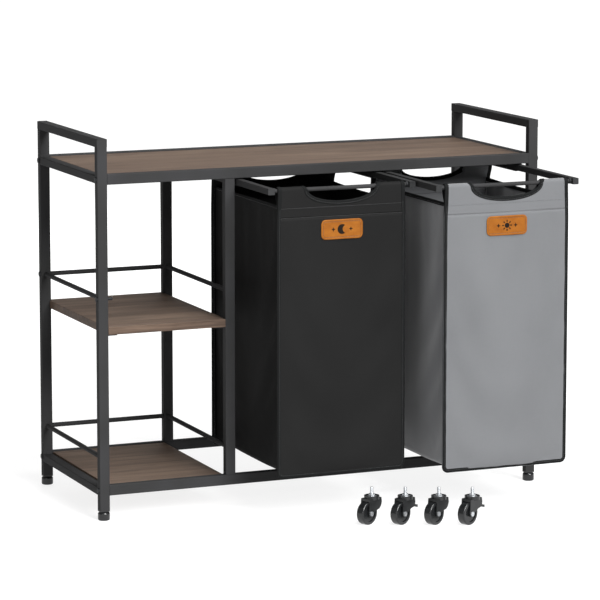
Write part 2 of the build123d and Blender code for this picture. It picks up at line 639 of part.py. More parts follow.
for number in range(1, CASTER_COUNT + 1):
    offset = (number - 1) * CASTER_PITCH
    stem = (FIRST_CASTER[0] + ROW[0] * offset, FIRST_CASTER[1] + ROW[1] * offset)
    braked = number in BRAKED
    name = "caster_" + str(number)

    # Threaded stem with its hexagon and the plate that the fork turns under.
    with BuildPart() as caster_stem:
        plate = level(stem[0], stem[1], CUP_FLOOR + FACE_GAP)
        add_rod(plate, CUP_RADIUS - CUP_WALL - PLATE_GAP, PLATE_TOP - CUP_FLOOR - FACE_GAP)
        kingpin = level(stem[0], stem[1], KINGPIN_HEAD[0])
        add_rod(kingpin, KINGPIN_RADIUS, PLATE_TOP - KINGPIN_HEAD[0])
        add_rod(kingpin, KINGPIN_HEAD_RADIUS, KINGPIN_HEAD[1] - KINGPIN_HEAD[0])
        with BuildSketch(level(stem[0], stem[1], PLATE_TOP)) as hexagon:
            RegularPolygon(HEX_RADIUS, 6)
        extrude(hexagon.sketch, amount=HEX_TOP - PLATE_TOP)
        add_rod(level(stem[0], stem[1], HEX_TOP), STEM_RADIUS, STEM_TOP - HEX_TOP)
        chamfer(caster_stem.edges().group_by(Axis.Z)[-1], STEM_CHAMFER)
    save(caster_stem, name + "_stem")

    # Fork: a round cup on a hood that covers the wheel's top and back, with a leg on each side.
    with BuildPart() as fork:
        add_rod(level(stem[0], stem[1], CUP_BOTTOM), CUP_RADIUS, CUP_TOP - CUP_BOTTOM)
        cup_floor = level(stem[0], stem[1], CUP_FLOOR)
        add_rod(cup_floor, CUP_RADIUS - CUP_WALL, CUP_TOP - CUP_FLOOR, mode=Mode.SUBTRACT)
        for v_low in (-LEG_OUTER, LEG_INNER):
            with BuildSketch(caster_plane(stem, v_low)) as leg:
                with BuildLine():
                    Polyline(*leg_outline(braked), close=True)
                make_face()
                with Locations((-TRAIL, WHEEL_RADIUS)):
                    Circle(AXLE_PAD_RADIUS)
            extrude(leg.sketch, amount=FORK_LEG)
        with BuildSketch(caster_plane(stem, -LEG_OUTER)) as hood:
            with BuildLine():
                Polyline(*hood_outline(braked), close=True)
            make_face()
        extrude(hood.sketch, amount=2 * LEG_OUTER)
        add_rod(level(stem[0], stem[1], 0), KINGPIN_RADIUS + THREAD_GAP, CUP_TOP, mode=Mode.SUBTRACT)
        add_rod(level(stem[0], stem[1], 0), KINGPIN_HEAD_RADIUS + FORK_GAP, CUP_BOTTOM, mode=Mode.SUBTRACT)
        add_disc(stem, -TRAIL, WHEEL_RADIUS, AXLE_RADIUS, -LEG_OUTER, LEG_OUTER, mode=Mode.SUBTRACT)
        if braked:
            pin_bore = LEVER_PIN_RADIUS + THREAD_GAP
            add_disc(stem, *LEVER_PIVOT, pin_bore, -LEG_OUTER, LEG_OUTER, mode=Mode.SUBTRACT)
    save(fork, name + "_fork")

    # Wheel with a rounded tread and a dished hub on each side.
    with BuildPart() as wheel:
        add_disc(stem, -TRAIL, WHEEL_RADIUS, WHEEL_RADIUS, -WHEEL_WIDTH / 2, WHEEL_WIDTH / 2)
        fillet(wheel.edges().filter_by(GeomType.CIRCLE), TREAD_CORNER)
        for v_low in (-WHEEL_WIDTH / 2, WHEEL_WIDTH / 2 - DISH_DEPTH):
            dish = (WHEEL_RADIUS - TREAD_DEPTH, v_low, v_low + DISH_DEPTH)
            add_disc(stem, -TRAIL, WHEEL_RADIUS, *dish, mode=Mode.SUBTRACT)
            add_disc(stem, -TRAIL, WHEEL_RADIUS, HUB_RADIUS, v_low, v_low + DISH_DEPTH)
        wheel_bore = AXLE_RADIUS + THREAD_GAP
        add_disc(stem, -TRAIL, WHEEL_RADIUS, wheel_bore, -WHEEL_WIDTH, WHEEL_WIDTH, mode=Mode.SUBTRACT)
    save(wheel, name + "_wheel")

    # Axle rivet with a domed head outside each fork leg.
    with BuildPart() as axle:
        add_disc(stem, -TRAIL, WHEEL_RADIUS, AXLE_RADIUS, -LEG_OUTER, LEG_OUTER)
        for v_low in (-LEG_OUTER - AXLE_HEAD_HEIGHT, LEG_OUTER):
            add_disc(stem, -TRAIL, WHEEL_RADIUS, AXLE_HEAD_RADIUS, v_low, v_low + AXLE_HEAD_HEIGHT)
    save(axle, name + "_axle")

    if not braked:
        continue

    # Brake lever: a boss with pins in the fork's lugs and a paddle that is pressed down.
    with BuildPart() as lever:
        boss_half = LEG_INNER - FORK_GAP
        add_disc(stem, LEVER_PIVOT[0], LEVER_PIVOT[1], LEVER_BOSS_RADIUS, -boss_half, boss_half)
        add_disc(stem, LEVER_PIVOT[0], LEVER_PIVOT[1], LEVER_PIN_RADIUS, -LEG_OUTER, LEG_OUTER)
        with BuildSketch(caster_plane(stem, -boss_half)) as paddle:
            with BuildLine():
                Polyline(
                    (LEVER_PIVOT[0], LEVER_PIVOT[1] + PADDLE_HALF),
                    (LEVER_REACH, LEVER_PIVOT[1] - PADDLE_DROP + PADDLE_HALF),
                    (LEVER_REACH, LEVER_PIVOT[1] - PADDLE_DROP - PADDLE_HALF),
                    (LEVER_PIVOT[0], LEVER_PIVOT[1] - PADDLE_HALF),
                    close=True,
                )
            make_face()
        extrude(paddle.sketch, amount=2 * boss_half)
    save(lever, name + "_brake_lever")
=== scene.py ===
"""Laundry sorter: finishes for the steel frame and boards, two sewn cloth bags, floor, lights and camera."""

import json
import math
import random

import bmesh
import bpy
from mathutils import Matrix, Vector


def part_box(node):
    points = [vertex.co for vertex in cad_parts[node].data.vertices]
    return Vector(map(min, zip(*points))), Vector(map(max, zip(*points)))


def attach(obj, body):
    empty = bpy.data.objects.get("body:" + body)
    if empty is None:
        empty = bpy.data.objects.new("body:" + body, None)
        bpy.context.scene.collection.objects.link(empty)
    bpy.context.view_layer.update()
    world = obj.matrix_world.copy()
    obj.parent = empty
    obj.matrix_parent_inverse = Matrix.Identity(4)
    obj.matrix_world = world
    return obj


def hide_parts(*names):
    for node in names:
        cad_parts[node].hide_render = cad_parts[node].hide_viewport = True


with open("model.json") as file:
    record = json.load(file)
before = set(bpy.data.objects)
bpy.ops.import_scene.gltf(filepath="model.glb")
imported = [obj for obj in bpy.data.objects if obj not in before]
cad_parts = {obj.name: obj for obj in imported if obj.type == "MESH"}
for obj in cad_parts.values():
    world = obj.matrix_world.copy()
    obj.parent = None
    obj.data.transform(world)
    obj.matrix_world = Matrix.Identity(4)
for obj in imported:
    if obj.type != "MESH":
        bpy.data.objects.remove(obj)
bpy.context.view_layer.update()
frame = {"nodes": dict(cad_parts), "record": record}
scene = bpy.context.scene
MM = 0.001
UP = Vector((0, 0, 1))


# ---- Camera -------------------------------------------------------------------------------------

camera_data = bpy.data.cameras.new("camera")
camera = bpy.data.objects.new("camera", camera_data)
scene.collection.objects.link(camera)
scene.camera = camera
camera.location = (-2.3904, -5.5823, 1.3813)
camera.rotation_euler = (math.radians(90 - 8.174), 0, math.radians(-22.838))
camera_data.sensor_width = 36
camera_data.lens = 190.4
camera_data.shift_y = -0.1
camera_data.clip_end = 200
scene.view_settings.view_transform = "Standard"


# ---- Finishes -----------------------------------------------------------------------------------


def colour(hex_code):
    """The linear colour of an sRGB hex code."""
    linear = []
    for start in (1, 3, 5):
        value = int(hex_code[start : start + 2], 16) / 255
        linear.append(value / 12.92 if value <= 0.04045 else ((value + 0.055) / 1.055) ** 2.4)
    return (*linear, 1.0)


def add_node(tree, kind, inputs=None, links=None, **settings):
    """Adds a node, sets its own settings and its inputs, and links its inputs to other sockets."""
    node = tree.nodes.new(kind)
    for name, value in settings.items():
        setattr(node, name, value)
    for name, value in (inputs or {}).items():
        node.inputs[name].default_value = value
    for name, socket in (links or {}).items():
        tree.links.new(socket, node.inputs[name])
    return node


def new_finish(name, base, **shader_inputs):
    """A material with a Principled shader and a position in the piece's own metres."""
    material = bpy.data.materials.new(name)
    material.use_nodes = True
    tree = material.node_tree
    shader = tree.nodes["Principled BSDF"]
    shader.inputs["Base Color"].default_value = colour(base)
    for socket, value in shader_inputs.items():
        shader.inputs[socket.replace("_", " ")].default_value = value
    place = add_node(tree, "ShaderNodeTexCoord").outputs["Object"]
    return material, tree, shader, place


def stretched_noise(tree, place, size_mm, detail=3.0, distortion=0.0, roughness=0.5):
    """Noise whose features measure size_mm along X, Y and Z."""
    scale = [1 / (size * MM) for size in size_mm]
    mapped = add_node(tree, "ShaderNodeMapping", {"Scale": scale}, {"Vector": place})
    settings = {"Scale": 1.0, "Detail": detail, "Distortion": distortion, "Roughness": roughness}
    noise = add_node(tree, "ShaderNodeTexNoise", settings, {"Vector": mapped.outputs[0]})
    return noise.outputs["Fac"]


def ramp(tree, factor, stops):
    """A colour ramp through (position, hex code) stops."""
    node = add_node(tree, "ShaderNodeValToRGB", None, {"Fac": factor})
    elements = node.color_ramp.elements
    while len(elements) < len(stops):
        elements.new(0.5)
    for element, (position, hex_code) in zip(elements, stops):
        element.position = position
        element.color = colour(hex_code)
    return node.outputs["Color"]


def mix_colours(tree, factor, first, second, blend="MIX"):
    """Mixes two colours; the factor is a number or a socket."""
    node = add_node(tree, "ShaderNodeMix", data_type="RGBA", blend_type=blend)
    for index, value in ((0, factor), (6, first), (7, second)):
        if isinstance(value, bpy.types.NodeSocket):
            tree.links.new(value, node.inputs[index])
        else:
            node.inputs[index].default_value = value
    return node.outputs[2]


def raise_surface(tree, shader, height, depth_mm, strength=1.0):
    """Bumps the surface by a height socket that is depth_mm from black to white."""
    size = {"Strength": strength, "Distance": depth_mm * MM}
    bump = add_node(tree, "ShaderNodeBump", size, {"Height": height})
    tree.links.new(bump.outputs[0], shader.inputs["Normal"])


def vary_roughness(tree, shader, factor, low, high):
    """Lets roughness run between two values with a factor."""
    spread = add_node(tree, "ShaderNodeMapRange", {"To Min": low, "To Max": high}, {"Value": factor})
    tree.links.new(spread.outputs[0], shader.inputs["Roughness"])


def powder_coated_steel():
    """Charcoal powder coat: a fine orange peel that breaks up most of the shine, and slight cloudy gloss."""
    finish, tree, shader, place = new_finish(
        "powder_coated_steel", "#2c2c2c", Roughness=0.6, IOR=1.5, Specular_IOR_Level=0.03
    )
    cloudy = stretched_noise(tree, place, (90, 90, 90), detail=2)
    tree.links.new(ramp(tree, cloudy, ((0.3, "#292929"), (0.7, "#2e2e2f"))), shader.inputs["Base Color"])
    # The real peel is about 1 mm; it is drawn at 2.5 mm so that it shows.
    peel = stretched_noise(tree, place, (2.5, 2.5, 2.5), detail=1)
    raise_surface(tree, shader, peel, 0.12, 0.5)
    vary_roughness(tree, shader, cloudy, 0.54, 0.66)
    return finish


def oak_laminate():
    """Grey-brown rustic oak print on chipboard: long grain along X, dark pores, low satin sheen."""
    finish, tree, shader, place = new_finish(
        "oak_laminate", "#51443b", Roughness=0.6, IOR=1.5, Specular_IOR_Level=0.15
    )
    planks = stretched_noise(tree, place, (520, 38, 38), detail=5, distortion=0.8, roughness=0.6)
    grain_colours = ((0.30, "#382e27"), (0.44, "#493c34"), (0.55, "#57493f"), (0.70, "#67584b"))
    base = ramp(tree, planks, grain_colours)
    figure = stretched_noise(tree, place, (260, 9, 9), detail=7, distortion=1.5, roughness=0.65)
    figured = ramp(tree, figure, ((0.36, "#372d26"), (0.64, "#69594c")))
    base = mix_colours(tree, 0.45, base, figured)
    # Pores are about 0.3 mm wide; they are drawn 1.6 mm wide so that they show.
    pores = stretched_noise(tree, place, (55, 1.6, 1.6), detail=3, roughness=0.7)
    dark_pores = ramp(tree, pores, ((0.30, "#5c4f46"), (0.48, "#ffffff")))
    base = mix_colours(tree, 0.55, base, dark_pores, "MULTIPLY")
    # The edge band is a strip of the same print, painted a little darker than the faces above and below:
    # painted shade on the board's edges.
    normal = add_node(tree, "ShaderNodeTexCoord").outputs["Normal"]
    facing = add_node(tree, "ShaderNodeSeparateXYZ", None, {"Vector": normal})
    upward = add_node(tree, "ShaderNodeMath", None, {0: facing.outputs["Z"]}, operation="ABSOLUTE")
    face_to_edge = {"From Min": 0.4, "From Max": 0.8, "To Min": 1.0, "To Max": 0.0}
    # Painted shade on faces that point sideways, none on the top and bottom faces.
    painted_edge_shade = add_node(tree, "ShaderNodeMapRange", face_to_edge, {"Value": upward.outputs[0]})
    edge_in_painted_shade = mix_colours(tree, 1.0, base, colour("#eeeae8"), "MULTIPLY")
    base = mix_colours(tree, painted_edge_shade.outputs[0], base, edge_in_painted_shade)
    tree.links.new(base, shader.inputs["Base Color"])
    raise_surface(tree, shader, pores, 0.15, 0.6)
    vary_roughness(tree, shader, figure, 0.5, 0.66)
    return finish


def woven_height(tree, place, thread_mm):
    """The height of a plain weave: threads along Z crossed by threads that run around the bag."""
    split = add_node(tree, "ShaderNodeSeparateXYZ", None, {"Vector": place})
    sideways = {0: split.outputs["X"], 1: split.outputs["Y"]}
    around = add_node(tree, "ShaderNodeMath", None, sideways, operation="ADD")
    turns = 2 * math.pi / (2 * thread_mm * MM)  # one whole wave is two threads, one over and one under
    waves = []
    for position in (around.outputs[0], split.outputs["Z"]):
        angle = add_node(tree, "ShaderNodeMath", {1: turns}, {0: position}, operation="MULTIPLY")
        wave = add_node(tree, "ShaderNodeMath", None, {0: angle.outputs[0]}, operation="SINE")
        waves.append(wave.outputs[0])
    crossed = add_node(tree, "ShaderNodeMath", None, {0: waves[0], 1: waves[1]}, operation="MULTIPLY")
    height = add_node(tree, "ShaderNodeMapRange", {"From Min": -1.0}, {"Value": crossed.outputs[0]})
    return height.outputs[0]


def oxford_cloth(name, thread, shade, lit, sheen):
    """Coated oxford cloth: a close plain weave, uneven threads, a soft polyester sheen."""
    finish, tree, shader, place = new_finish(
        name, thread, Roughness=0.62, IOR=1.5, Specular_IOR_Level=0.02,
        Sheen_Weight=sheen, Sheen_Roughness=0.5,
    )
    # Threads are about 0.5 mm apart; they are drawn 1.3 mm apart.
    weave = woven_height(tree, place, 1.3)
    slubs = stretched_noise(tree, place, (14, 14, 1.5), detail=2)
    cross_slubs = stretched_noise(tree, place, (1.5, 1.5, 14), detail=2)
    soft = stretched_noise(tree, place, (160, 160, 220), detail=2)
    base = ramp(tree, soft, ((0.25, shade), (0.75, lit)))
    for threads in (slubs, cross_slubs):
        base = mix_colours(tree, 0.10, base, ramp(tree, threads, ((0.35, shade), (0.65, lit))))
    # Painted shade: the hollows between threads take the darker colour.
    base = mix_colours(tree, painted_hollow_shade(tree, weave, 0.18), base, colour(shade))
    tree.links.new(base, shader.inputs["Base Color"])
    raise_surface(tree, shader, weave, 0.18, 0.35)
    return finish


def painted_hollow_shade(tree, weave, most):
    """How far the hollows between threads take the darker colour: painted shade in the weave's hollows."""
    shaded_hollows = add_node(tree, "ShaderNodeMapRange", {"To Min": most, "To Max": 0.0}, {"Value": weave})
    return shaded_hollows.outputs[0]


def binding_tape():
    """Black grosgrain tape: fine ribs across the tape, matt polyester."""
    finish, tree, shader, place = new_finish(
        "grosgrain_tape", "#121313", Roughness=0.7, IOR=1.5, Specular_IOR_Level=0.04
    )
    # Ribs are about 0.6 mm apart; they are drawn 1.2 mm apart.
    ribs = woven_height(tree, place, 1.2)
    # Painted shade: the hollows between the ribs take the darker colour.
    base = mix_colours(tree, painted_hollow_shade(tree, ribs, 0.5), colour("#141515"), colour("#0e0e0f"))
    tree.links.new(base, shader.inputs["Base Color"])
    raise_surface(tree, shader, ribs, 0.2, 0.5)
    return finish


def sewing_thread(name, base):
    """Twisted polyester thread with a light sheen."""
    finish, tree, shader, place = new_finish(name, base, Roughness=0.55, IOR=1.5, Sheen_Weight=0.2)
    twist = stretched_noise(tree, place, (0.8, 0.8, 0.8), detail=1)
    raise_surface(tree, shader, twist, 0.1, 0.5)
    return finish


def tan_leather():
    """Smooth tan leather: fine pebbled grain, cloudy dye, and a low waxed sheen."""
    finish, tree, shader, place = new_finish(
        "tan_leather", "#75430f", Roughness=0.5, IOR=1.5, Specular_IOR_Level=0.12
    )
    dye = stretched_noise(tree, place, (18, 18, 12), detail=4, roughness=0.6)
    tree.links.new(ramp(tree, dye, ((0.3, "#6e3d0a"), (0.7, "#7d4a12"))), shader.inputs["Base Color"])
    # Grain pebbles are about 0.6 mm; they are drawn 1.4 mm wide.
    scaled = add_node(tree, "ShaderNodeMapping", {"Scale": [1 / (1.4 * MM)] * 3}, {"Vector": place})
    pebbles = add_node(tree, "ShaderNodeTexVoronoi", {"Scale": 1.0}, {"Vector": scaled.outputs[0]})
    raise_surface(tree, shader, pebbles.outputs["Distance"], 0.12, 0.4)
    vary_roughness(tree, shader, dye, 0.42, 0.58)
    return finish


def printed_ink():
    """Dark brown ink pressed into the leather."""
    finish, tree, shader, place = new_finish(
        "pressed_ink", "#120b06", Roughness=0.7, IOR=1.5, Specular_IOR_Level=0.1
    )
    worn = stretched_noise(tree, place, (2, 2, 2), detail=3)
    tree.links.new(ramp(tree, worn, ((0.3, "#0d0804"), (0.75, "#170f08"))), shader.inputs["Base Color"])
    return finish


def moulded_plastic(name, base, lighter, low, high):
    """Moulded black plastic: a faint cloudy skin, with gloss between low and high roughness."""
    finish, tree, shader, place = new_finish(name, base, Roughness=(low + high) / 2, IOR=1.46)
    skin = stretched_noise(tree, place, (12, 12, 12), detail=3)
    tree.links.new(ramp(tree, skin, ((0.3, base), (0.75, lighter))), shader.inputs["Base Color"])
    # The mould's fine grain is drawn at 1.2 mm.
    raise_surface(tree, shader, stretched_noise(tree, place, (1.2, 1.2, 1.2), detail=1), 0.04, 0.5)
    vary_roughness(tree, shader, skin, low, high)
    return finish


def zinc_plated_steel():
    """Bright zinc plating: pale blue-grey metal with faint tool marks."""
    finish, tree, shader, place = new_finish("zinc_plated_steel", "#c9ccd0", Metallic=1.0, Roughness=0.3)
    marks = stretched_noise(tree, place, (6, 6, 0.8), detail=3)
    tree.links.new(ramp(tree, marks, ((0.3, "#b4b8bc"), (0.7, "#dadcde"))), shader.inputs["Base Color"])
    vary_roughness(tree, shader, marks, 0.34, 0.5)
    return finish


def blackened_steel():
    """Black phosphated bolts: dark, half matt, a little uneven."""
    finish, tree, shader, place = new_finish(
        "blackened_steel", "#1b1c1e", Roughness=0.5, IOR=1.5, Specular_IOR_Level=0.1
    )
    patchy = stretched_noise(tree, place, (4, 4, 4), detail=3)
    tree.links.new(ramp(tree, patchy, ((0.3, "#171819"), (0.75, "#232426"))), shader.inputs["Base Color"])
    vary_roughness(tree, shader, patchy, 0.42, 0.58)
    return finish


STEEL_PAINT = powder_coated_steel()
BOARD = oak_laminate()
DARK_CLOTH = oxford_cloth("dark_oxford_cloth", "#191919", "#171717", "#1b1b1b", 0.0)
LIGHT_CLOTH = oxford_cloth("light_oxford_cloth", "#58595b", "#535456", "#5d5e60", 0.34)
TAPE = binding_tape()
DARK_THREAD = sewing_thread("black_thread", "#101112")
GREY_THREAD = sewing_thread("grey_thread", "#4a4c4e")
TAN_THREAD = sewing_thread("tan_thread", "#3d2209")
LEATHER = tan_leather()
INK = printed_ink()
SATIN_PLASTIC = moulded_plastic("satin_nylon", "#101112", "#18191a", 0.3, 0.42)
GLOSS_PLASTIC = moulded_plastic("gloss_polypropylene", "#111213", "#18191a", 0.14, 0.26)
ZINC = zinc_plated_steel()
BLACK_STEEL = blackened_steel()

FINISH_OF_SLOT = {
    "frame_paint": STEEL_PAINT,
    "black_bolts": BLACK_STEEL,
    "zinc_plate": ZINC,
    "oak_board": BOARD,
    "dark_cloth": DARK_CLOTH,
    "light_cloth": LIGHT_CLOTH,
    "binding_tape": TAPE,
    "tan_leather": LEATHER,
    "black_plastic": SATIN_PLASTIC,
    "black_gloss_plastic": GLOSS_PLASTIC,
}


def finish_frame_nodes():
    """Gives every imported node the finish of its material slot."""
    for entry in frame["record"]["subparts"]:
        node = frame["nodes"][entry["node"]]
        finish = FINISH_OF_SLOT[entry["material_slot"]]
        for slot in node.material_slots:
            slot.link = "DATA"
            slot.material = finish


# ---- Mesh helpers -------------------------------------------------------------------------------


def make_object(name, mesh_data, finish, smooth=True):
    """Turns a bmesh into an object with one finish."""
    mesh = bpy.data.meshes.new(name)
    bmesh.ops.recalc_face_normals(mesh_data, faces=mesh_data.faces)
    mesh_data.to_mesh(mesh)
    mesh_data.free()
    for face in mesh.polygons:
        face.use_smooth = smooth
    mesh.materials.append(finish)
    piece = bpy.data.objects.new(name, mesh)
    scene.collection.objects.link(piece)
    return piece


def sheet_of(name, rows, finish):
    """A sheet of quads through rows of points, all rows of the same length."""
    mesh_data = bmesh.new()
    grid = [[mesh_data.verts.new(point) for point in row] for row in rows]
    for low, high in zip(grid, grid[1:]):
        for index in range(len(low) - 1):
            mesh_data.faces.new((low[index], low[index + 1], high[index + 1], high[index]))
    return make_object(name, mesh_data, finish)


def apply_modifiers(piece):
    """Replaces the piece's mesh by what its modifiers make of it."""
    graph = bpy.context.evaluated_depsgraph_get()
    made = bpy.data.meshes.new_from_object(piece.evaluated_get(graph))
    piece.modifiers.clear()
    piece.vertex_groups.clear()
    piece.data = made


def thicken(piece):
    """Rounds a sheet off by subdivision and gives it the cloth's thickness, half on either side."""
    rounding = piece.modifiers.new("rounding", "SUBSURF")
    rounding.levels = 1
    rounding.render_levels = 1
    rounding.boundary_smooth = "PRESERVE_CORNERS"
    solid = piece.modifiers.new("thickness", "SOLIDIFY")
    solid.thickness = CLOTH
    solid.offset = 0
    solid.use_even_offset = False
    apply_modifiers(piece)


def join(name, parts):
    """Joins objects into one, which keeps each one's finish."""
    bpy.ops.object.select_all(action="DESELECT")
    for part in parts:
        part.select_set(True)
    bpy.context.view_layer.objects.active = parts[0]
    bpy.ops.object.join()
    joined = bpy.context.view_layer.objects.active
    joined.name = name
    joined.data.name = name
    return joined


def bridge_rings(mesh_data, first, second):
    """Joins two closed rings with the same number of points by a band of quads."""
    for index in range(len(first)):
        after = (index + 1) % len(first)
        mesh_data.faces.new((first[index], first[after], second[after], second[index]))


def sweep(mesh_data, stations, profile, closed_ring=False):
    """Sweeps a closed profile along stations of (point, side direction, face direction)."""
    rings = []
    for point, side, face in stations:
        rings.append([mesh_data.verts.new(point + side * a + face * b) for a, b in profile])
    pairs = list(zip(rings, rings[1:]))
    if closed_ring:
        pairs.append((rings[-1], rings[0]))
    for low, high in pairs:
        bridge_rings(mesh_data, low, high)
    if not closed_ring:
        mesh_data.faces.new(rings[0])
        mesh_data.faces.new(list(reversed(rings[-1])))


def arc_points(centre, radius, start, end, steps):
    """Points (a, b) on an arc between two angles in degrees."""
    points = []
    for step in range(steps + 1):
        angle = math.radians(start + (end - start) * step / steps)
        points.append((centre[0] + radius * math.cos(angle), centre[1] + radius * math.sin(angle)))
    return points


def evenly(points, spacing):
    """Walks a line of points and returns (point, direction) at even spacing."""
    walked = []
    left_over = 0.0
    for start, end in zip(points, points[1:]):
        run = end - start
        length = run.length
        if length == 0:
            continue
        direction = run / length
        travelled = left_over
        while travelled < length:
            walked.append((start + direction * travelled, direction))
            travelled += spacing
        left_over = travelled - length
    return walked


def add_stitches(mesh_data, points, face, stitch):
    """Lays short rounded stitches along a line of points, on the side that the face direction shows."""
    length, gap, radius = stitch
    for point, direction in evenly(points, length + gap):
        across = direction.cross(face).normalized()
        stations = []
        for along, swell in ((0.0, 0.4), (0.25, 1.0), (0.75, 1.0), (1.0, 0.4)):
            centre = point + direction * (along * length) + face * radius * 0.4 * swell
            stations.append((centre, across * swell, face * swell))
        profile = [(radius * a, radius * b) for a, b in arc_points((0, 0), 1, 0, 300, 5)]
        sweep(mesh_data, stations, profile)


# ---- Bags ---------------------------------------------------------------------------------------

CLOTH = 1.2 * MM
TAPE_WIDTH = 7.2 * MM
TAPE_HALF = 1.5 * MM  # half of the bound edge's thickness: two layers of cloth between two of tape
SINGLE_TAPE_HALF = 1.3 * MM
STITCH_ROW = 0.66  # where the stitches lie across the tape, from its folded edge
CORNER = 12 * MM
PULL_IN = 2 * MM
PULL_START = 0.555
PULL_END = 0.632
HEM_LINE = 0.580
HEM_LINE_TOP = 0.598
HEM_GATHER = 1.6 * MM  # how far the hem's inner layer lies behind the outer one
GUSSET_TOP = 0.602
SEAM_INSET = 9 * MM
MOON_HALF = 69 * MM
MOON_DEPTH = 30 * MM
MOON_FLARE = 5 * MM
HEM_TAIL = 4 * MM  # how far the turned-in layer reaches below the hem's lower row of stitches
MOON_SINK = 0.3 * MM  # how far the half-moon's edge sinks in at its deepest point
PANEL_COLUMNS = 24
PANEL_ROWS = 42
PANEL_SWELL = 3.0 * MM
HEM_ROWS = 10
BESIDE_MOON = 5  # columns of the hem on either side of the half-moon
ACROSS_MOON = 26  # steps across the half-moon
ROD_STEPS = 10  # steps of the cloth over the rod
MOON_STEPS = 48  # steps of the tape along the half-moon's edge
TAPE_ROD_STEPS = 12  # steps of the tape over the rod
GUSSET_ROWS = 44  # rows up each side wall
GUSSET_STEPS = 30  # steps from the front panel to the back one
GUSSET_CORNER = 10 * MM

# A row of stitches: each stitch's length, the gap to the next one and the thread's radius.
TAPE_STITCH = (3.0 * MM, 1.2 * MM, 0.35 * MM)
HEM_STITCH = (2.6 * MM, 1.0 * MM, 0.35 * MM)
LABEL_STITCH = (2.4 * MM, 1.1 * MM, 0.4 * MM)
STITCH_LIFT = 0.86  # where a stitch lies between the middle of a bound edge and the tape's face

LABEL_CORNER = 9 * MM
LABEL_GROOVE = 4.1 * MM  # how far the groove with the stitches lies inside the edge
# The patch from its back to its face: millimetres inside the outline, and the share of its depth.
LABEL_ROLL = (
    (0.6, 0.0), (0.0, 0.3), (0.0, 0.65), (0.35, 0.88), (1.2, 1.0),
    (3.4, 1.0), (3.8, 0.84), (4.4, 0.84), (4.8, 1.0),
)
SPARKLE_PLACE = 18 * MM
SPARKLE_SIZE = 4.4 * MM


def smooth_step(value):
    """Eases from 0 to 1."""
    value = max(0.0, min(1.0, value))
    return value * value * (3 - 2 * value)


class BagCut:
    """Where a bag's panels, seams and rods lie, worked out from its solids."""

    def __init__(self, shade):
        low, high = (Vector(corner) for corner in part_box(shade + "_bag"))
        rods_low, rods_high = (Vector(corner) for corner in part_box(shade + "_bag_rods"))
        self.shade = shade
        self.middle = (low.x + high.x) / 2
        self.half = (high.x - low.x) / 2
        self.bottom = low.z
        self.rod_z = (rods_low.z + rods_high.z) / 2
        rod_radius = (rods_high.z - rods_low.z) / 2
        self.faces = {-1: low.y, 1: high.y}
        self.rods = {-1: rods_low.y + rod_radius, 1: rods_high.y - rod_radius}
        self.top = high.z
        self.moon_drop = self.rod_z - (self.top - MOON_DEPTH)

    def half_width(self, z):
        """Half of the panel's width at a height: rounded bottom corners, and pulled in at the hem."""
        above = z - self.bottom
        rounded = 0.0
        if above < CORNER:
            rounded = CORNER - math.sqrt(max(0.0, CORNER**2 - (CORNER - above) ** 2))
        pulled = PULL_IN * smooth_step((z - PULL_START) / (PULL_END - PULL_START))
        return self.half - rounded - pulled

    def moon_share(self, x):
        """How deep the half-moon is at a distance x from the middle: 1 in the middle, 0 at its ends."""
        return math.sqrt(max(0.0, 1 - (x / MOON_HALF) ** 2))

    def moon_edge(self, x):
        """The height of the half-moon's edge at a distance x from the bag's middle."""
        return self.rod_z - self.moon_drop * self.moon_share(x)

    def loop_radius(self, side):
        """The radius of the hem's cloth around the rod."""
        return abs(self.faces[side] - self.rods[side]) - CLOTH / 2

    def inner_layer(self, side, x, z):
        """The depth y of the hem's inner layer, which leaves the outer one to reach round the rod."""
        outer = self.rods[side] + side * self.loop_radius(side)
        inner = self.rods[side] - side * self.loop_radius(side)
        flat = outer - side * HEM_GATHER
        apart = smooth_step((z - HEM_LINE_TOP) / (self.rod_z - 6 * MM - HEM_LINE_TOP))
        joined = min(1.0, 1.4 * self.moon_share(x)) if abs(x) < MOON_HALF else 0.0
        spread = flat + (inner - flat) * apart
        beside = flat - side * 1.3 * MM * smooth_step((z - HEM_LINE_TOP) / (10 * MM))
        return spread + (beside - spread) * joined

    def hem_loop(self, side):
        """Points (y, z) from the hem line up the panel, over the rod and down its inner side."""
        rod, radius = self.rods[side], self.loop_radius(side)
        path = [(rod + side * radius, z) for z in (HEM_LINE, HEM_LINE_TOP, 0.612, 0.624)]
        for step in range(ROD_STEPS + 1):
            angle = math.pi * step / ROD_STEPS
            path.append((rod + side * radius * math.cos(angle), self.rod_z + radius * math.sin(angle)))
        for z in (0.624, 0.618, 0.612, 0.605, HEM_LINE_TOP, HEM_LINE - HEM_TAIL):
            path.append((self.inner_layer(side, self.half, z), z))
        return path


def settle(piece, held, slack, most, frames=22):
    """Lets a slack sheet of cloth fall into its own soft folds between its sewn edges."""
    start = [vertex.co.copy() for vertex in piece.data.vertices]
    group = piece.vertex_groups.new(name="sewn")
    group.add(held, 1.0, "REPLACE")
    cloth = piece.modifiers.new("settle", "CLOTH")
    cloth.settings.quality = 6
    cloth.settings.mass = 0.15
    cloth.settings.tension_stiffness = 25
    cloth.settings.compression_stiffness = 25
    cloth.settings.shear_stiffness = 8
    cloth.settings.bending_stiffness = 4
    cloth.settings.air_damping = 3
    cloth.settings.shrink_min = -slack
    cloth.settings.vertex_group_mass = "sewn"
    cloth.point_cache.frame_end = frames
    for number in range(1, frames + 1):
        scene.frame_set(number)
    graph = bpy.context.evaluated_depsgraph_get()
    settled = piece.evaluated_get(graph).data
    moved = [vertex.co.copy() for vertex in settled.vertices]
    piece.modifiers.clear()
    for vertex, before, after in zip(piece.data.vertices, start, moved):
        step = after - before
        vertex.co = before + step * min(1.0, most / max(step.length, 1e-9))
    scene.frame_set(1)


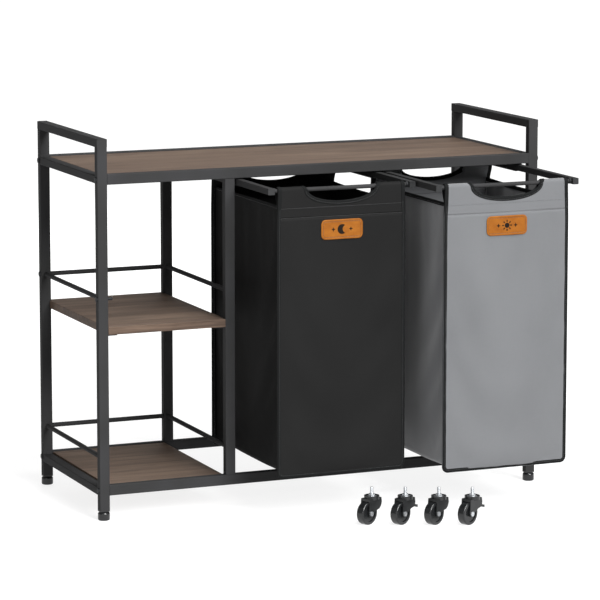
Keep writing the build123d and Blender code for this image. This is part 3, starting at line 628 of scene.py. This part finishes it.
def panel_body(cut, side):
    """The flat part of the front or back panel, from its bottom edge to the hem line."""
    heights = [cut.bottom + rise * MM for rise in (0, 1.2, 3.5, 7, 12)]
    for row in range(1, PANEL_ROWS + 1):
        heights.append(heights[4] + (HEM_LINE - heights[4]) * row / PANEL_ROWS)
    y = cut.faces[side] - side * CLOTH / 2
    rng = random.Random(7 + side)
    rows = []
    for z in heights:
        row = []
        rise = (z - cut.bottom) / (HEM_LINE - cut.bottom)
        for column in range(PANEL_COLUMNS + 1):
            s = -1 + 2 * column / PANEL_COLUMNS
            swell = PANEL_SWELL * (1 - s * s) * math.sin(math.pi * min(1, rise)) * (1.2 - 0.6 * rise)
            uneven = rng.uniform(-0.25, 0.25) * MM if 0 < rise < 1 and abs(s) < 0.95 else 0
            row.append((cut.middle + s * cut.half_width(z), y + side * (swell + uneven), z))
        rows.append(row)
    piece = sheet_of("panel", rows, DARK_CLOTH)
    width = PANEL_COLUMNS + 1
    held = []
    for row_number in range(len(rows)):
        for column in range(width):
            at_edge = column < 2 or column > width - 3
            if at_edge or row_number < 3 or row_number == len(rows) - 1:
                held.append(row_number * width + column)
    settle(piece, held, 0.001, 2.5 * MM)
    thicken(piece)
    return piece


def hem_columns(cut, z, arc_share):
    """The x of every column of the hem at a height: beside the half-moon, across it and beside it again."""
    width = cut.half_width(max(z, HEM_LINE))
    end = MOON_HALF + MOON_FLARE * arc_share
    beside = [end + (width - end) * (1 - step / BESIDE_MOON) for step in range(BESIDE_MOON)]
    across = [-end * math.cos(math.pi * step / ACROSS_MOON) for step in range(ACROSS_MOON + 1)]
    return [-x for x in beside] + across + list(reversed(beside))


def hem(cut, side):
    """The doubled hem: one sheet folded over the rod, with the half-moon cut through both layers."""
    mesh_data = bmesh.new()
    radius = cut.loop_radius(side)
    outer_y = cut.rods[side] + side * radius
    across = range(BESIDE_MOON, BESIDE_MOON + ACROSS_MOON + 1)  # the columns that end at the half-moon

    def add_row(points):
        return [mesh_data.verts.new((cut.middle + x, y, z)) for x, y, z in points]

    def join_rows(low, high, skip=()):
        for index in range(len(low) - 1):
            if not (index in skip and index + 1 in skip):
                mesh_data.faces.new((low[index], low[index + 1], high[index + 1], high[index]))

    outer_rows = []
    inner_rows = []
    for row in range(HEM_ROWS):
        share = row / (HEM_ROWS - 1)
        outer_points = []
        inner_points = []
        for x in hem_columns(cut, HEM_LINE + (cut.rod_z - HEM_LINE) * share, 0):
            top = cut.moon_edge(x)
            z = HEM_LINE + (top - HEM_LINE) * share
            inner_z = HEM_LINE - HEM_TAIL + (top - HEM_LINE + HEM_TAIL) * share
            outer_points.append((x, outer_y - side * MOON_SINK * share * cut.moon_share(x), z))
            inner_points.append((x, cut.inner_layer(side, x, inner_z), inner_z))
        outer_rows.append(add_row(outer_points))
        inner_rows.append(add_row(inner_points))
    for rows in (outer_rows, inner_rows):
        for low, high in zip(rows, rows[1:]):
            join_rows(low, high)
    below = outer_rows[-1]
    for step in range(1, ROD_STEPS):
        angle = math.pi * step / ROD_STEPS
        y = cut.rods[side] + side * radius * math.cos(angle)
        z = cut.rod_z + radius * math.sin(angle)
        arc = add_row([(x, y, z) for x in hem_columns(cut, z, math.sin(angle))])
        join_rows(below, arc, across)
        below = arc
    join_rows(below, inner_rows[-1], across)
    loose = [vertex for vertex in mesh_data.verts if not vertex.link_faces]
    bmesh.ops.delete(mesh_data, geom=loose, context="VERTS")
    piece = make_object("hem", mesh_data, DARK_CLOTH)
    thicken(piece)
    return piece


def gusset_path(cut):
    """Points (x, z) of the side and bottom strip, seen from the front, from left top to right top."""
    half = cut.half - SEAM_INSET
    floor = cut.bottom + SEAM_INSET + 3 * MM
    radius = GUSSET_CORNER
    rises = [floor + radius + (GUSSET_TOP - floor - radius) * k / GUSSET_ROWS for k in range(GUSSET_ROWS + 1)]
    left = [(-half, z) for z in reversed(rises)]
    bend = arc_points((0, 0), radius, 180, 270, 5)[1:]
    corner = [(-half + radius + a, floor + radius + b) for a, b in bend]
    flat_count = 20
    flat_run = 2 * (half - radius)
    flat = [(-half + radius + flat_run * k / flat_count, floor) for k in range(1, flat_count)]
    right_corner = [(-x, z) for x, z in reversed(corner)]
    right = [(-x, z) for x, z in reversed(left)]
    return left + corner + flat + right_corner + right


def gusset(cut):
    """The strip that makes the bag's sides and bottom: it sags at the bottom and falls in at the sides."""
    path = gusset_path(cut)
    front = cut.faces[-1] + CLOTH
    back = cut.faces[1] - CLOTH
    steps = GUSSET_STEPS
    rng = random.Random(21)
    half = cut.half - SEAM_INSET
    rows = []
    for x, z in path:
        row = []
        on_side = abs(x) > half - 1 * MM
        rise = (z - cut.bottom) / (GUSSET_TOP - cut.bottom)
        for step in range(steps + 1):
            share = step / steps
            crown = math.sin(math.pi * share)
            inward = math.copysign(1, x) * crown * (2.0 + 3.0 * rise**3) * MM if on_side else 0
            droop = 0 if on_side else 2.5 * MM * crown
            top_dip = 1.5 * MM * crown * smooth_step((rise - 0.9) / 0.1)
            uneven = rng.uniform(-0.3, 0.3) * MM * (crown > 0.2)
            y = front + (back - front) * share
            row.append((cut.middle + x - inward + uneven, y, z - droop - top_dip))
        rows.append(row)
    piece = sheet_of("gusset", rows, DARK_CLOTH)
    width = steps + 1
    held = []
    for row_number in range(len(rows)):
        held.extend((row_number * width, row_number * width + steps))
    held.extend(range(width))
    held.extend(range((len(rows) - 1) * width, len(rows) * width))
    settle(piece, held, 0.0025, 4 * MM)
    points = piece.data.vertices
    rims = []
    for end_row in (0, len(rows) - 1):
        rims.append([points[end_row * width + step].co.copy() for step in range(width)])
    thicken(piece)
    return piece, rims


def tape_profile(half_thickness):
    """A folded tape around an edge: first number outwards from the edge, second across the cloth."""
    w, h = TAPE_WIDTH, half_thickness
    upper = [(-w, 0.35 * h), (-w, h * 0.9), (-0.92 * w, h), (-0.72 * w, h), (-0.66 * w, 0.9 * h)]
    upper += [(-0.6 * w, h), (-0.2 * w, h), (-0.05 * w, 0.8 * h), (0.04 * w, 0.35 * h)]
    return upper + [(a, -b) for a, b in reversed(upper)]


def panel_edge(cut, side, end):
    """Stations along one bound side edge of a panel: up from the corner and over the rod."""
    y = cut.faces[side] - side * CLOTH
    outward = Vector((end, 0, 0))
    face = Vector((0, side, 0))
    stations = []
    rows = 30
    for row in range(rows):
        z = cut.bottom + CORNER + (HEM_LINE - cut.bottom - CORNER) * row / rows
        stations.append((Vector((cut.middle + end * cut.half_width(z), y, z)), outward, face))
    loop = cut.hem_loop(side)
    for index, (loop_y, z) in enumerate(loop):
        before = Vector((0, *loop[max(index - 1, 0)]))
        after = Vector((0, *loop[min(index + 1, len(loop) - 1)]))
        along = (after - before).normalized()
        facing = Vector((0, side * along.z, -side * along.y))
        ease = smooth_step((z - HEM_LINE) / (12 * MM)) if index < 4 else 1.0
        shift = (y - loop_y) * (1 - ease) if index < 4 else 0
        x = cut.middle + end * cut.half_width(max(z, HEM_LINE))
        stations.append((Vector((x, loop_y + shift, z)), outward, facing))
    return stations


def panel_outline(cut, side):
    """Stations of the tape that runs down one side of a panel, along its bottom and up the other."""
    y = cut.faces[side] - side * CLOTH
    face = Vector((0, side, 0))
    left = list(reversed(panel_edge(cut, side, -1)))
    bottom = []
    run = cut.half - CORNER
    for a, b in arc_points((0, 0), 1, 180, 270, 7)[1:]:
        point = Vector((cut.middle - run + CORNER * a, y, cut.bottom + CORNER + CORNER * b))
        bottom.append((point, Vector((a, 0, b)), face))
    for step in range(1, 20):
        x = cut.middle - run + 2 * run * step / 20
        bottom.append((Vector((x, y, cut.bottom)), Vector((0, 0, -1)), face))
    for a, b in arc_points((0, 0), 1, 270, 360, 7)[:-1]:
        point = Vector((cut.middle + run + CORNER * a, y, cut.bottom + CORNER + CORNER * b))
        bottom.append((point, Vector((a, 0, b)), face))
    return left + bottom + panel_edge(cut, side, 1)


def moon_stations(cut, side):
    """Stations of the tape once around a half-moon: outer edge, over the rod, inner edge and back."""
    radius = cut.loop_radius(side)
    rod = cut.rods[side]
    outer_y = rod + side * radius

    def edge_run(inner):
        run = []
        for step in range(1, MOON_STEPS):
            x = -MOON_HALF * math.cos(math.pi * step / MOON_STEPS)
            z = cut.moon_edge(x)
            y = cut.inner_layer(side, x, z) if inner else outer_y - side * MOON_SINK * cut.moon_share(x)
            towards_hole = Vector((-x / MOON_HALF**2, 0, (cut.rod_z - z) / cut.moon_drop**2)).normalized()
            facing = Vector((0, -side if inner else side, 0))
            run.append((Vector((cut.middle + x, y, z)), towards_hole, facing))
        return run

    def arc_run(end):
        run = []
        for step in range(TAPE_ROD_STEPS + 1):
            angle = math.pi * step / TAPE_ROD_STEPS
            x = end * (MOON_HALF + MOON_FLARE * math.sin(angle))
            y = rod + side * radius * math.cos(angle)
            z = cut.rod_z + radius * math.sin(angle)
            facing = Vector((0, side * math.cos(angle), math.sin(angle)))
            run.append((Vector((cut.middle + x, y, z)), Vector((-end, 0, 0)), facing))
        return run

    outer_run = edge_run(inner=False)
    inner_run = list(reversed(edge_run(inner=True)))
    return outer_run, outer_run + arc_run(1) + inner_run + list(reversed(arc_run(-1)))


def rim_stations(rim, end):
    """Stations of the tape along a side wall's top edge."""
    stations = []
    for index, point in enumerate(rim):
        along = (rim[min(index + 1, len(rim) - 1)] - rim[max(index - 1, 0)]).normalized()
        face = Vector((end, 0, 0))
        face = (face - along * face.dot(along)).normalized()
        across = along.cross(face)
        stations.append((point, across * (1 if across.z > 0 else -1), face))
    return stations


def stitch_line(stations, lift):
    """The line on a tape's face, as far in as its row of stitches."""
    return [point - out * STITCH_ROW * TAPE_WIDTH + face * lift for point, out, face in stations]


def bind_edges(cut, rims):
    """Black tape on every raw edge, with its row of stitches."""
    tape = bmesh.new()
    stitches = bmesh.new()
    for side in (-1, 1):
        outline = panel_outline(cut, side)
        sweep(tape, outline, tape_profile(TAPE_HALF))
        flat = [station for station in outline if station[0].z < HEM_LINE_TOP]
        for turned in (1, -1):
            facing = Vector((0, side * turned, 0))
            line = stitch_line([(point, out, facing) for point, out, face in flat], TAPE_HALF * STITCH_LIFT)
            add_stitches(stitches, line, facing, TAPE_STITCH)
        front_run, ring = moon_stations(cut, side)
        sweep(tape, ring, tape_profile(SINGLE_TAPE_HALF), closed_ring=True)
        line = stitch_line(front_run, SINGLE_TAPE_HALF * STITCH_LIFT)
        add_stitches(stitches, line, Vector((0, side, 0)), TAPE_STITCH)
    for rim, end in zip(rims, (-1, 1)):
        stations = rim_stations(rim, end)
        sweep(tape, stations, tape_profile(SINGLE_TAPE_HALF))
        line = stitch_line(stations, SINGLE_TAPE_HALF * STITCH_LIFT)
        add_stitches(stitches, line, Vector((end, 0, 0)), TAPE_STITCH)
    bound = make_object(cut.shade + "_bag_tape", tape, TAPE)
    sewn = make_object(cut.shade + "_tape_stitches", stitches, DARK_THREAD)
    return bound, sewn


def hem_stitches(cut, thread):
    """Two rows of stitches that close the hem under the rod."""
    rows = bmesh.new()
    for side in (-1, 1):
        facing = Vector((0, side, 0))
        for z in (HEM_LINE, HEM_LINE_TOP):
            reach = cut.half_width(z) - TAPE_WIDTH
            y = cut.faces[side]
            line = [Vector((cut.middle + reach * s, y, z)) for s in (-1, 1)]
            add_stitches(rows, line, facing, HEM_STITCH)
    return make_object(cut.shade + "_hem_stitches", rows, thread)


def rounded_outline(width, height, radius, steps=8):
    """Points (a, b) around a rounded rectangle."""
    a, b = width / 2 - radius, height / 2 - radius
    points = []
    for centre, start in (((a, b), 0), ((-a, b), 90), ((-a, -b), 180), ((a, -b), 270)):
        points.extend(arc_points(centre, radius, start, start + 90, steps))
    return points


def label_patch(cut):
    """A stitched leather patch with a rolled edge, and the picture pressed into it."""
    low, high = (Vector(corner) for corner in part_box(cut.shade + "_bag_label"))
    centre = (low + high) / 2
    width, height, depth = high.x - low.x, high.z - low.z, high.y - low.y
    patch = bmesh.new()
    rings = []
    for inset, rise in LABEL_ROLL:
        inset *= MM
        corner = max(LABEL_CORNER - inset, 3 * MM)
        outline = rounded_outline(width - 2 * inset, height - 2 * inset, corner)
        y = high.y - depth * rise
        rings.append([patch.verts.new((centre.x + a, y, centre.z + b)) for a, b in outline])
    for low_ring, high_ring in zip(rings, rings[1:]):
        bridge_rings(patch, low_ring, high_ring)
    patch.faces.new(rings[-1])
    patch.faces.new(list(reversed(rings[0])))
    leather = make_object(cut.shade + "_label_leather", patch, LEATHER)
    for polygon in leather.data.polygons:
        if len(polygon.vertices) > 4:
            polygon.use_smooth = False
    thread = bmesh.new()
    facing = Vector((0, -1, 0))
    groove = rounded_outline(width - 2 * LABEL_GROOVE, height - 2 * LABEL_GROOVE, 4 * MM)
    line = [Vector((centre.x + a, high.y - depth * 0.9, centre.z + b)) for a, b in groove]
    add_stitches(thread, line + line[:1], facing, LABEL_STITCH)
    sewn = make_object(cut.shade + "_label_stitches", thread, TAN_THREAD)
    picture = bmesh.new()
    surface = low.y
    for outline in PICTURES[cut.shade]():
        front = [picture.verts.new((centre.x + a, surface - 0.15 * MM, centre.z + b)) for a, b in outline]
        back = [picture.verts.new((centre.x + a, surface + 0.3 * MM, centre.z + b)) for a, b in outline]
        picture.faces.new(front)
        picture.faces.new(list(reversed(back)))
        bridge_rings(picture, back, front)
    inked = make_object(cut.shade + "_label_picture", picture, INK, smooth=False)
    return leather, sewn, inked


def sparkle(centre_a):
    """A small star with four points."""
    points = []
    for step in range(8):
        reach = SPARKLE_SIZE if step % 2 == 0 else SPARKLE_SIZE * 0.38
        angle = math.radians(45 * step)
        points.append((centre_a + reach * math.cos(angle), reach * math.sin(angle)))
    return points


def crescent():
    """A crescent moon between two stars, for dark laundry."""
    radius = 9.4 * MM
    outer = arc_points((0, 0), radius, 50, 310, 28)
    bite = 7.7 * MM
    tip = Vector(outer[0])
    offset = tip.x + math.sqrt(bite**2 - tip.y**2)
    reach = math.degrees(math.atan2(tip.y, tip.x - offset))
    inner = arc_points((offset, 0), bite, -reach, -360 + reach, 20)
    return [outer + inner[1:-1], sparkle(-SPARKLE_PLACE), sparkle(SPARKLE_PLACE)]


def sun():
    """A sun with short rays between two sparkles, for light laundry."""
    shapes = [arc_points((0, 0), 5.0 * MM, 0, 345, 23), sparkle(-SPARKLE_PLACE), sparkle(SPARKLE_PLACE)]
    for ray in range(8):
        angle = math.radians(45 * ray)
        along = Vector((math.cos(angle), math.sin(angle)))
        across = Vector((-along.y, along.x))
        near, far, half = 6.6 * MM, 10.4 * MM, 1.15 * MM
        corners = ((near, -half), (far, -half), (far, half), (near, half))
        shapes.append([tuple(along * a + across * b) for a, b in corners])
    return shapes


PICTURES = {"dark": crescent, "light": sun}


def sew_bag(shade, cloth, thread):
    """One whole bag: its cloth, tape, stitches and label, on the unit that slides."""
    cut = BagCut(shade)
    unit = shade + "_bag_unit"
    sheets = []
    for side in (-1, 1):
        sheets.append(panel_body(cut, side))
        sheets.append(hem(cut, side))
    strip, rims = gusset(cut)
    sheets.append(strip)
    body = join(shade + "_bag_cloth", sheets)
    body.data.materials.clear()
    body.data.materials.append(cloth)
    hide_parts(shade + "_bag")
    tape, tape_stitches = bind_edges(cut, rims)
    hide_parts(shade + "_bag_binding")
    leather, label_stitches, picture = label_patch(cut)
    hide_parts(shade + "_bag_label")
    stitches = hem_stitches(cut, thread)
    for piece in (body, tape, tape_stitches, leather, label_stitches, picture, stitches):
        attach(piece, unit)


# ---- Casters ------------------------------------------------------------------------------------


def cut_stem_thread(number):
    """The rolled thread on a caster's stem: a fine ridge wound up the pin."""
    node = "caster_" + str(number) + "_stem"
    low, high = (Vector(corner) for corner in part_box(node))
    centre = (low + high) / 2
    core, crest, pitch = 2.95 * MM, 3.3 * MM, 1.0 * MM
    start, top = high.z - 12.5 * MM, high.z - 1.2 * MM
    per_turn = 20
    turns = (top - start) / pitch
    ridge = bmesh.new()
    stations = []
    for step in range(int(turns * per_turn) + 1):
        angle = 2 * math.pi * step / per_turn
        out = Vector((math.cos(angle), math.sin(angle), 0))
        point = Vector((centre.x, centre.y, start + pitch * step / per_turn))
        stations.append((point + out * core, out, UP))
    sweep(ridge, stations, [(-0.2 * MM, -0.42 * MM), (crest - core, 0.0), (-0.2 * MM, 0.42 * MM)])
    piece = make_object("caster_" + str(number) + "_stem_thread", ridge, ZINC, smooth=False)
    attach(piece, node)


# ---- Floor and lights ---------------------------------------------------------------------------


def lay_floor():
    """A plain pale floor, lit from inside like a light table so that it stays white far away."""
    finish, _, shader, _ = new_finish("pale_floor", "#898989", Roughness=1.0, Specular_IOR_Level=0.0)
    shader.inputs["Emission Color"].default_value = colour("#ffffff")
    shader.inputs["Emission Strength"].default_value = 0.82
    floor_mesh = bmesh.new()
    reach = 60
    corners = [(-reach, -reach, 0), (reach, -reach, 0), (reach, reach, 0), (-reach, reach, 0)]
    floor_mesh.faces.new([floor_mesh.verts.new(corner) for corner in corners])
    floor = make_object("floor", floor_mesh, finish, smooth=False)


def aim(lamp, place, target):
    """Stands a lamp at a place and turns it to face a target."""
    lamp.location = place
    lamp.rotation_euler = (Vector(target) - Vector(place)).to_track_quat("-Z", "Y").to_euler()


def light_studio():
    """A broad key from the front, softboxes above, at the left and behind, and a dim room.

    The softbox behind lights the rear faces and is left out of reflections, so that the board tops
    keep their own colour.
    """
    world = bpy.data.worlds.new("studio")
    world.use_nodes = True
    background = world.node_tree.nodes["Background"]
    background.inputs["Color"].default_value = colour("#ffffff")
    background.inputs["Strength"].default_value = 0.3
    scene.world = world
    key = bpy.data.lights.new("key_light", "SUN")
    key.energy = 5.1
    key.angle = math.radians(28)
    lamp = bpy.data.objects.new("key_light", key)
    scene.collection.objects.link(lamp)
    aim(lamp, (1.0, -4.5, 2.7), (0, 0, 0))
    softboxes = (
        ("top_softbox", (0.4, -1.4, 3.2), 1.6, 125, True),
        ("left_softbox", (-3.4, -3.4, 1.4), 1.4, 30, True),
        ("back_softbox", (1.2, 4.0, 1.6), 2.0, 90, False),
    )
    for name, place, size, power, shines in softboxes:
        softbox = bpy.data.lights.new(name, "AREA")
        softbox.shape = "SQUARE"
        softbox.size = size
        softbox.energy = power
        lamp = bpy.data.objects.new(name, softbox)
        scene.collection.objects.link(lamp)
        aim(lamp, place, (0, 0, 0.3))
        lamp.visible_glossy = shines


finish_frame_nodes()
sew_bag("dark", DARK_CLOTH, DARK_THREAD)
sew_bag("light", LIGHT_CLOTH, GREY_THREAD)
for caster_number in range(1, 5):
    cut_stem_thread(caster_number)
lay_floor()
light_studio()
